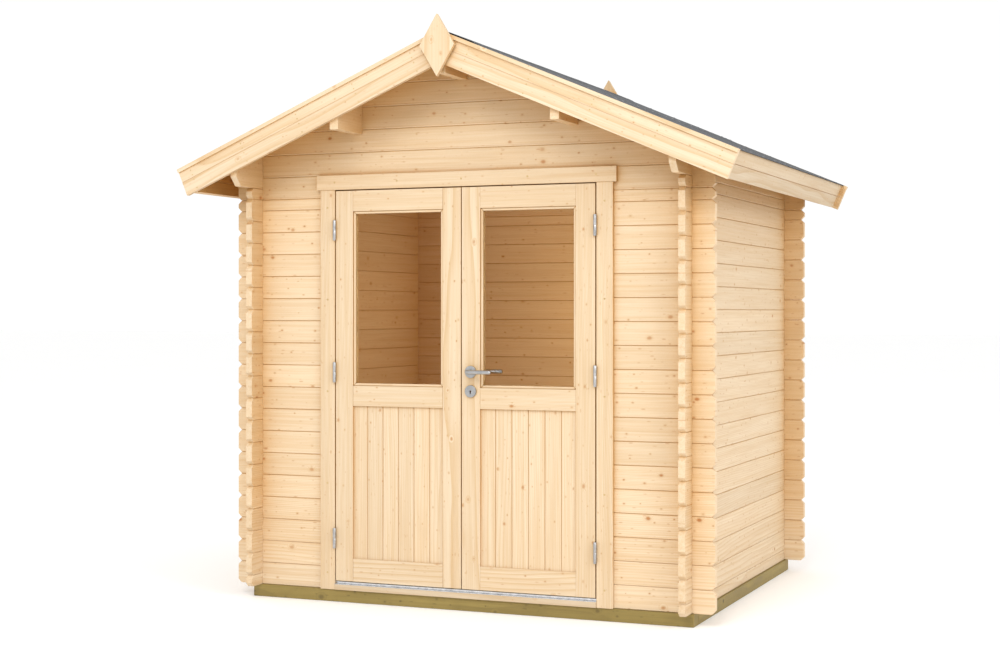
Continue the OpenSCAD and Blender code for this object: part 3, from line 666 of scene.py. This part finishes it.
def ringOf(bm, place, radii, height):
    count = len(radii)
    ring = []
    for i, radius in enumerate(radii):
        angle = 2 * math.pi * i / count
        point = Vector((radius * math.cos(angle), radius * math.sin(angle), height))
        ring.append(bm.verts.new(place @ point))
    return ring


def joinRings(bm, low, high):
    count = len(low)
    for i in range(count):
        bm.faces.new((low[i], low[(i + 1) % count], high[(i + 1) % count], high[i]))


# Heads: screws with a cross recess, and a crown of rings, as shares of the radius and the rise
heads = {
    "screwSides": 16, "screwSunk": 0.0008, "crossReach": 0.62, "crossWaist": 0.2, "recess": 0.0012,
    "nailSunk": 0.0006, "crown": ((1.0, 0.35), (0.9, 0.75), (0.6, 0.95), (0.25, 1.0)),
}


def screwHead(bm, at, facing, radius, rise, turn):
    place = turnedTo(facing, at) @ Matrix.Rotation(turn, 4, "Z")
    sides = heads["screwSides"]
    star = [radius * (heads["crossWaist"] if i % 4 else heads["crossReach"]) for i in range(sides)]
    rim = ringOf(bm, place, [radius] * sides, -heads["screwSunk"])
    top = ringOf(bm, place, [radius * 0.93] * sides, rise)
    lip = ringOf(bm, place, star, rise * 0.9)
    pit = ringOf(bm, place, [r * 0.7 for r in star], rise - heads["recess"])
    joinRings(bm, rim, top)
    joinRings(bm, top, lip)
    joinRings(bm, lip, pit)
    bm.faces.new(pit)


def crownedHead(bm, at, facing, radius, rise, sides=12):  # nail heads and the round tips of hinges
    place = turnedTo(facing, at)
    profile = [(1.0, -heads["nailSunk"])] + [(share, rise * up) for share, up in heads["crown"]]
    rings = [ringOf(bm, place, [radius * share] * sides, height) for share, height in profile]
    for low, high in zip(rings, rings[1:]):
        joinRings(bm, low, high)
    bm.faces.new(rings[-1])


def onSlope(side, u, v, y):  # a point on a roof slope: u down from the ridge, v out from the felt
    c, s = math.cos(build["roofPitch"]), math.sin(build["roofPitch"])
    return Vector((side * (u * c + v * s), y, build["apex"] - u * s + v * c))


fixings = {"screwRadius": 0.0042, "screwRise": 0.0005, "nailRadius": 0.0030, "nailRise": 0.0005}
picks = random.Random(5)


def screwAt(bm, at, facing, rise=fixings["screwRise"]):
    screwHead(bm, at, facing, fixings["screwRadius"], rise, picks.uniform(0, math.pi))


def nailAt(bm, at, facing):
    crownedHead(bm, at, facing, fixings["nailRadius"], fixings["nailRise"])


def evenly(low, high, inset, count):  # places from end to end, with the same inset at both
    return [low + inset + i * (high - low - 2 * inset) / (count - 1) for i in range(count)]


doorwayWork = {"casingHeights": (0.13, 0.53, 0.94, 1.35, 1.76), "headScrews": 5, "headInset": 0.09}


def doorwayScrews():
    bm = bmesh.new()
    for name in ("left_casing", "right_casing"):
        low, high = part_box(name)
        for z in doorwayWork["casingHeights"]:
            screwAt(bm, ((low.x + high.x) / 2, low.y, z), (0, -1, 0))
    low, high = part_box("top_casing")
    for x in evenly(low.x, high.x, doorwayWork["headInset"], doorwayWork["headScrews"]):
        screwAt(bm, (x, low.y, (low.z + high.z) / 2), (0, -1, 0))
    newPiece("doorway_screws", bm, "goldZinc", "shed")


vergeWork = {"stripThick": 0.008, "along": (0.16, 0.46, 0.76, 1.06, 1.34),
             "down": (-0.030, -0.052, -0.075, -0.115)}


def vergeNails():
    bm = bmesh.new()
    for end in (-1, 1):
        face = end * (abs(bargeLow.y) - vergeWork["stripThick"])
        for side in (-1, 1):
            for u in vergeWork["along"]:
                for v in vergeWork["down"]:
                    nailAt(bm, onSlope(side, u, v, face), (0, end, 0))
    newPiece("bargeboard_nails", bm, "goldZinc", "shed")


eaveWork = {"back": 0.025, "nails": 8, "inset": 0.06, "down": (-0.022, -0.050, -0.076, -0.114)}


def eaveNails():
    bm = bmesh.new()
    c, s = math.cos(build["roofPitch"]), math.sin(build["roofPitch"])
    u = build["eave"] / c - eaveWork["back"]
    low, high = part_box("right_fascia")
    for side in (-1, 1):
        for y in evenly(low.y, high.y, eaveWork["inset"], eaveWork["nails"]):
            for v in eaveWork["down"]:
                nailAt(bm, onSlope(side, u, v, y), (side * c, 0, -s))
    newPiece("fascia_nails", bm, "goldZinc", "shed")


floorWork = {"joistPitch": 0.48, "edge": 0.02, "across": (0.22, 0.78)}


def floorScrews():
    bm = bmesh.new()
    low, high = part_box("floor_boards")
    pitch = boardPitch(low.y, high.y, build["floorBoards"])
    rows = [low.x + floorWork["edge"], high.x - floorWork["edge"]]
    rows += [i * floorWork["joistPitch"] for i in (-1, 0, 1)]
    for board in range(build["floorBoards"]):
        for x in rows:
            for part in floorWork["across"]:
                screwAt(bm, (x, low.y + (board + part) * pitch, high.z), (0, 0, 1))
    newPiece("floor_screws", bm, "goldZinc", "shed")


hingeWork = {
    "axisX": 0.6150, "axisOut": 0.0085, "half": 0.0425,
    "fromFoot": 0.190, "middle": 0.535, "fromTop": 0.175,
    "tipRadius": 0.0070, "tipRise": 0.0032, "tipSides": 20,
    "plate": 0.0005, "screwsDeep": (0.014, 0.030), "screwRise": 0.0002,
}


def hingeDetails():
    axisX = hingeWork["axisX"]
    axisY = leafLow.y - hingeWork["axisOut"]
    half = hingeWork["half"]
    tip = hingeWork["tipRadius"], hingeWork["tipRise"], hingeWork["tipSides"]
    tall = leafHigh.z - leafLow.z
    heights = (hingeWork["fromFoot"], hingeWork["middle"] * tall, tall - hingeWork["fromTop"])
    onFrame = bmesh.new()
    for side, body in ((-1, "door_left"), (1, "door_right")):
        onLeaf = bmesh.new()
        leafFace = side * (axisX - hingeWork["plate"])
        jambFace = side * (axisX + hingeWork["plate"])
        for z in [leafLow.z + height for height in heights]:
            crownedHead(onLeaf, (side * axisX, axisY, z + half), (0, 0, 1), *tip)
            crownedHead(onFrame, (side * axisX, axisY, z - half), (0, 0, -1), *tip)
            for deep in hingeWork["screwsDeep"]:
                y = axisY + deep
                screwAt(onLeaf, (leafFace, y, z + half / 2), (side, 0, 0), hingeWork["screwRise"])
                screwAt(onFrame, (jambFace, y, z - half / 2), (-side, 0, 0), hingeWork["screwRise"])
        newPiece(body.replace("door_", "") + "_hinge_details", onLeaf, "zinc", body)
    newPiece("frame_hinge_details", onFrame, "zinc", "shed")


# Felt: an upper sheet lapped over the lower one on each slope, a cap over the ridge, and clout nails
sheetWork = {"rows": 18, "columns": 64, "inset": 0.001, "thick": 0.0015, "rim": 0.0002,
             "edgeWave": 0.0022, "edgeRough": 0.0005, "wave": 0.0004, "rough": 0.0001}
capWork = {"rows": 20, "columns": 64, "inset": 0.0005, "thick": 0.0018, "rim": 0.0036,
           "edgeWave": 0.0018, "wave": 0.0003, "fold": 0.004}


def gridFaces(bm, grid, flip=False):
    for line, following in zip(grid, grid[1:]):
        for j in range(len(line) - 1):
            corners = (line[j], following[j], following[j + 1], line[j + 1])
            bm.faces.new(corners[::-1] if flip else corners)


def thicken(piece, amount):
    thick = piece.modifiers.new("thickness", "SOLIDIFY")
    thick.thickness = amount
    thick.offset = -1.0


def feltSheet(name, side):
    bm = bmesh.new()
    ripple = random.Random(11 if side > 0 else 12)
    rows, columns, inset = sheetWork["rows"], sheetWork["columns"], sheetWork["inset"]
    half = feltHigh.y - inset
    grid = []
    for i in range(rows + 1):
        line = []
        for j in range(columns + 1):
            y = -half + 2 * half * j / columns
            edge = feltWork["sheetEnd"] + sheetWork["edgeWave"] * math.sin(y * 7.3 + side)
            edge += ripple.uniform(-sheetWork["edgeRough"], sheetWork["edgeRough"])
            u = inset + (edge - inset) * i / rows
            rise = feltWork["sheetRise"] + sheetWork["wave"] * math.sin(y * 11 + u * 17)
            rise += ripple.uniform(-sheetWork["rough"], sheetWork["rough"])
            if i == rows or j in (0, columns):
                rise = sheetWork["rim"]
            line.append(bm.verts.new(onSlope(side, u, rise, y)))
        grid.append(line)
    gridFaces(bm, grid, side < 0)
    thicken(newPiece(name, bm, "feltUpper", "shed"), sheetWork["thick"])


def ridgeCap():
    bm = bmesh.new()
    rows, columns = capWork["rows"], capWork["columns"]
    half = feltHigh.y - capWork["inset"]
    tilt = math.tan(build["roofPitch"])
    reach = feltWork["capEnd"] * math.cos(build["roofPitch"])
    grid = []
    for i in range(rows + 1):
        line = []
        for j in range(columns + 1):
            y = -half + 2 * half * j / columns
            part = 2.0 * i / rows - 1.0
            x = part * (reach + capWork["edgeWave"] * math.sin(y * 6.1 + 3 * part))
            rise = feltWork["capRise"] + capWork["wave"] * math.sin(y * 13 + x * 19)
            if i in (0, rows):
                rise = capWork["rim"]
            z = build["apex"] + rise - tilt * math.hypot(x, capWork["fold"])
            line.append(bm.verts.new((x, y, z)))
        grid.append(line)
    gridFaces(bm, grid)
    thicken(newPiece("ridge_felt_cap", bm, "feltCap", "shed"), capWork["thick"])


cloutWork = {
    "radius": 0.0055, "rise": 0.0012, "step": 0.10, "inset": 0.03, "scatterY": 0.006, "scatterU": 0.003,
    "capBack": 0.025, "onCap": 0.0058, "sheetBack": 0.03, "onSheet": 0.0031, "eaveBack": 0.05,
    "vergeFirst": 0.28, "vergeStep": 0.14, "vergeCount": 8,
}


def cloutNails():
    bm = bmesh.new()
    c, s = math.cos(build["roofPitch"]), math.sin(build["roofPitch"])
    half = feltHigh.y - cloutWork["inset"]
    count = int(2 * half / cloutWork["step"])
    head = cloutWork["radius"], cloutWork["rise"]
    rows = ((feltWork["capEnd"] - cloutWork["capBack"], cloutWork["onCap"]),
            (feltWork["sheetEnd"] - cloutWork["sheetBack"], cloutWork["onSheet"]),
            (build["eave"] / c - cloutWork["eaveBack"], 0.0))
    for side in (-1, 1):
        up = (side * s, 0, c)
        for row, rise in rows:
            for i in range(count + 1):
                y = -half + 2 * half * i / count
                y += picks.uniform(-cloutWork["scatterY"], cloutWork["scatterY"])
                u = row + picks.uniform(-cloutWork["scatterU"], cloutWork["scatterU"])
                crownedHead(bm, onSlope(side, u, rise, y), up, *head)
        for end in (-1, 1):
            for i in range(cloutWork["vergeCount"]):
                u = cloutWork["vergeFirst"] + i * cloutWork["vergeStep"]
                rise = cloutWork["onSheet"] if u < feltWork["sheetEnd"] else 0.0
                crownedHead(bm, onSlope(side, u, rise, end * half), up, *head)
    newPiece("clout_nails", bm, "clout", "shed")


# Threshold: fine ribs along the rail
ribWork = {"across": (0.2, 0.4, 0.6, 0.8), "inset": 0.002, "half": 0.0022, "rise": 0.0014, "facets": 6}


def railRibs():
    bm = bmesh.new()
    low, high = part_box("threshold_rail")
    facets = ribWork["facets"]
    turns = [math.pi * k / facets for k in range(facets + 1)]
    for part in ribWork["across"]:
        middle = low.y + part * (high.y - low.y)
        ends = []
        for x in (low.x + ribWork["inset"], high.x - ribWork["inset"]):
            ends.append([bm.verts.new((x, middle + ribWork["half"] * math.cos(turn),
                                       high.z + ribWork["rise"] * math.sin(turn))) for turn in turns])
        for k in range(facets):
            bm.faces.new((ends[0][k], ends[0][k + 1], ends[1][k + 1], ends[1][k]))
        bm.faces.new(ends[0])
        bm.faces.new(ends[1][::-1])
    bmesh.ops.recalc_face_normals(bm, faces=bm.faces)
    newPiece("threshold_ribs", bm, "alloy", "shed")


# Lock: a plate with the latch and bolt on the right leaf's edge, and the plate on the left that takes them
lock = {
    "low": 0.885, "high": 1.105, "wide": 0.020, "thick": 0.0009, "arcSteps": 12,
    "screwInset": 0.014, "screwRise": 0.0003, "boltsOut": 0.0008, "strikeOut": 0.0002,
    "bolts": ({"z": 1.036, "halfWide": 0.006, "halfTall": 0.016, "slant": 0.4},
              {"z": 0.952, "halfWide": 0.005, "halfTall": 0.018, "slant": 1.0}),
}


def roundedPlate(bm, x, facing, middle):
    radius, thick = lock["wide"] / 2, lock["thick"]
    outline = []
    for centre, start in ((lock["high"] - radius, 0.0), (lock["low"] + radius, math.pi)):
        for k in range(lock["arcSteps"] + 1):
            angle = start + math.pi * k / lock["arcSteps"]
            outline.append((middle + radius * math.cos(angle), centre + radius * math.sin(angle)))
    back = [bm.verts.new((x, y, z)) for y, z in outline]
    rim = [bm.verts.new((x + facing * thick * 0.6, y, z)) for y, z in outline]
    inner = [bm.verts.new((x + facing * thick, middle + (y - middle) * 0.95, z)) for y, z in outline]
    joinRings(bm, back, rim)
    joinRings(bm, rim, inner)
    bm.faces.new(inner)


def boltBlock(bm, face, facing, out, middle, bolt):
    near, far = middle - bolt["halfWide"], middle + bolt["halfWide"]
    outline = ((face, near), (face, far), (face + facing * out, far),
               (face + facing * out * bolt["slant"], near))
    low, high = ([bm.verts.new((x, y, bolt["z"] + end * bolt["halfTall"])) for x, y in outline]
                 for end in (-1, 1))
    joinRings(bm, low, high)
    bm.faces.new(low[::-1])
    bm.faces.new(high)


def lockPlates():
    middle = (leafLow.y + leafHigh.y) / 2
    for side, body in ((1, "door_right"), (-1, "door_left")):
        bm = bmesh.new()
        x = side * leafLow.x
        roundedPlate(bm, x, -side, middle)
        face = x - side * lock["thick"]
        for z in (lock["low"] + lock["screwInset"], lock["high"] - lock["screwInset"]):
            screwAt(bm, (face, middle, z), (-side, 0, 0), lock["screwRise"])
        for bolt in lock["bolts"]:
            boltBlock(bm, face, -side, lock["boltsOut"] if side > 0 else lock["strikeOut"], middle, bolt)
        bmesh.ops.recalc_face_normals(bm, faces=bm.faces)
        newPiece("lock_plate" if side > 0 else "strike_plate", bm, "satin", body)


doorwayScrews()
vergeNails()
eaveNails()
floorScrews()
hingeDetails()
feltSheet("left_felt_sheet", -1)
feltSheet("right_felt_sheet", 1)
ridgeCap()
cloutNails()
railRibs()
lockPlates()
print("added pieces built")


# Studio: pale floor, white surround and soft lights
studio = {
    "floorHalf": 90.0, "floorTint": (0.985, 0.985, 0.98, 1), "floorShade": 0.985, "skyStrength": 1.02,
    "keyPlace": (1.0, -8.5, 6.8), "keyTarget": (0, -0.8, 1.2), "keySize": 3.5, "keyPower": 330.0,
    "fillPlace": (8.0, -4.5, 5.0), "fillTarget": (0.5, 0, 1.2), "fillSize": 4.0, "fillPower": 248.0,
    "roomPlace": (0.3, 0.08, 1.3), "roomPower": 17.0, "roomSoft": 0.35, "roomTint": (1.0, 0.79, 0.49),
}


def studioFloor():
    h = studio["floorHalf"]
    mesh = bpy.data.meshes.new("studioFloor")
    mesh.from_pydata([(-h, -h, 0), (h, -h, 0), (h, h, 0), (-h, h, 0)], [], [(0, 1, 2, 3)])
    floor = bpy.data.objects.new("studioFloor", mesh)
    scene.collection.objects.link(floor)
    material, w, shader, place = newMaterial("paleFloor")
    shade = w.noise(place, 0.6, 2.0)
    tint = studio["floorTint"]
    darker = tuple(c * studio["floorShade"] for c in tint[:3]) + (1,)
    w.feed(shader.inputs["Base Color"], w.mix(shade, tint, darker))
    shader.inputs["Roughness"].default_value = 0.9
    mesh.materials.append(material)


def areaLight(key):
    data = bpy.data.lights.new(key + "Light", "AREA")
    data.energy = studio[key + "Power"]
    data.size = studio[key + "Size"]
    lamp = bpy.data.objects.new(key + "Light", data)
    lamp.location = studio[key + "Place"]
    aim = Vector(studio[key + "Target"]) - Vector(studio[key + "Place"])
    lamp.rotation_euler = aim.to_track_quat("-Z", "Y").to_euler()
    lamp.visible_camera = False
    scene.collection.objects.link(lamp)


def roomLight():  # daylight that would come in through the panes
    data = bpy.data.lights.new("roomLight", "POINT")
    data.energy = studio["roomPower"]
    data.shadow_soft_size = studio["roomSoft"]
    data.color = studio["roomTint"]
    lamp = bpy.data.objects.new("roomLight", data)
    lamp.location = studio["roomPlace"]
    lamp.visible_camera = False
    lamp.visible_transmission = False
    lamp.visible_glossy = False
    scene.collection.objects.link(lamp)


def surround():
    world = bpy.data.worlds.new("surround")
    world.use_nodes = True
    sky = world.node_tree.nodes["Background"]
    sky.inputs["Color"].default_value = (1, 1, 1, 1)
    sky.inputs["Strength"].default_value = studio["skyStrength"]
    scene.world = world


studioFloor()
surround()
areaLight("key")
areaLight("fill")
roomLight()
scene.view_settings.view_transform = "Standard"

# Camera: level, to the right of the doors, worked out from the photograph's log lines
view = {"place": (2.9713, -7.5969, 1.2949), "yaw": math.radians(22.506), "focalPixels": 1700.34,
        "imageWide": 1000.0, "horizonUp": 23.6, "sensorWide": 36.0}
camera = bpy.data.cameras.new("viewCamera")
camera.sensor_width = view["sensorWide"]
camera.lens = view["focalPixels"] / view["imageWide"] * camera.sensor_width
camera.shift_y = -view["horizonUp"] / view["imageWide"]
eye = bpy.data.objects.new("viewCamera", camera)
eye.location = view["place"]
eye.rotation_euler = (math.pi / 2, 0.0, view["yaw"])
scene.collection.objects.link(eye)
scene.camera = eye
print("camera and lights set")
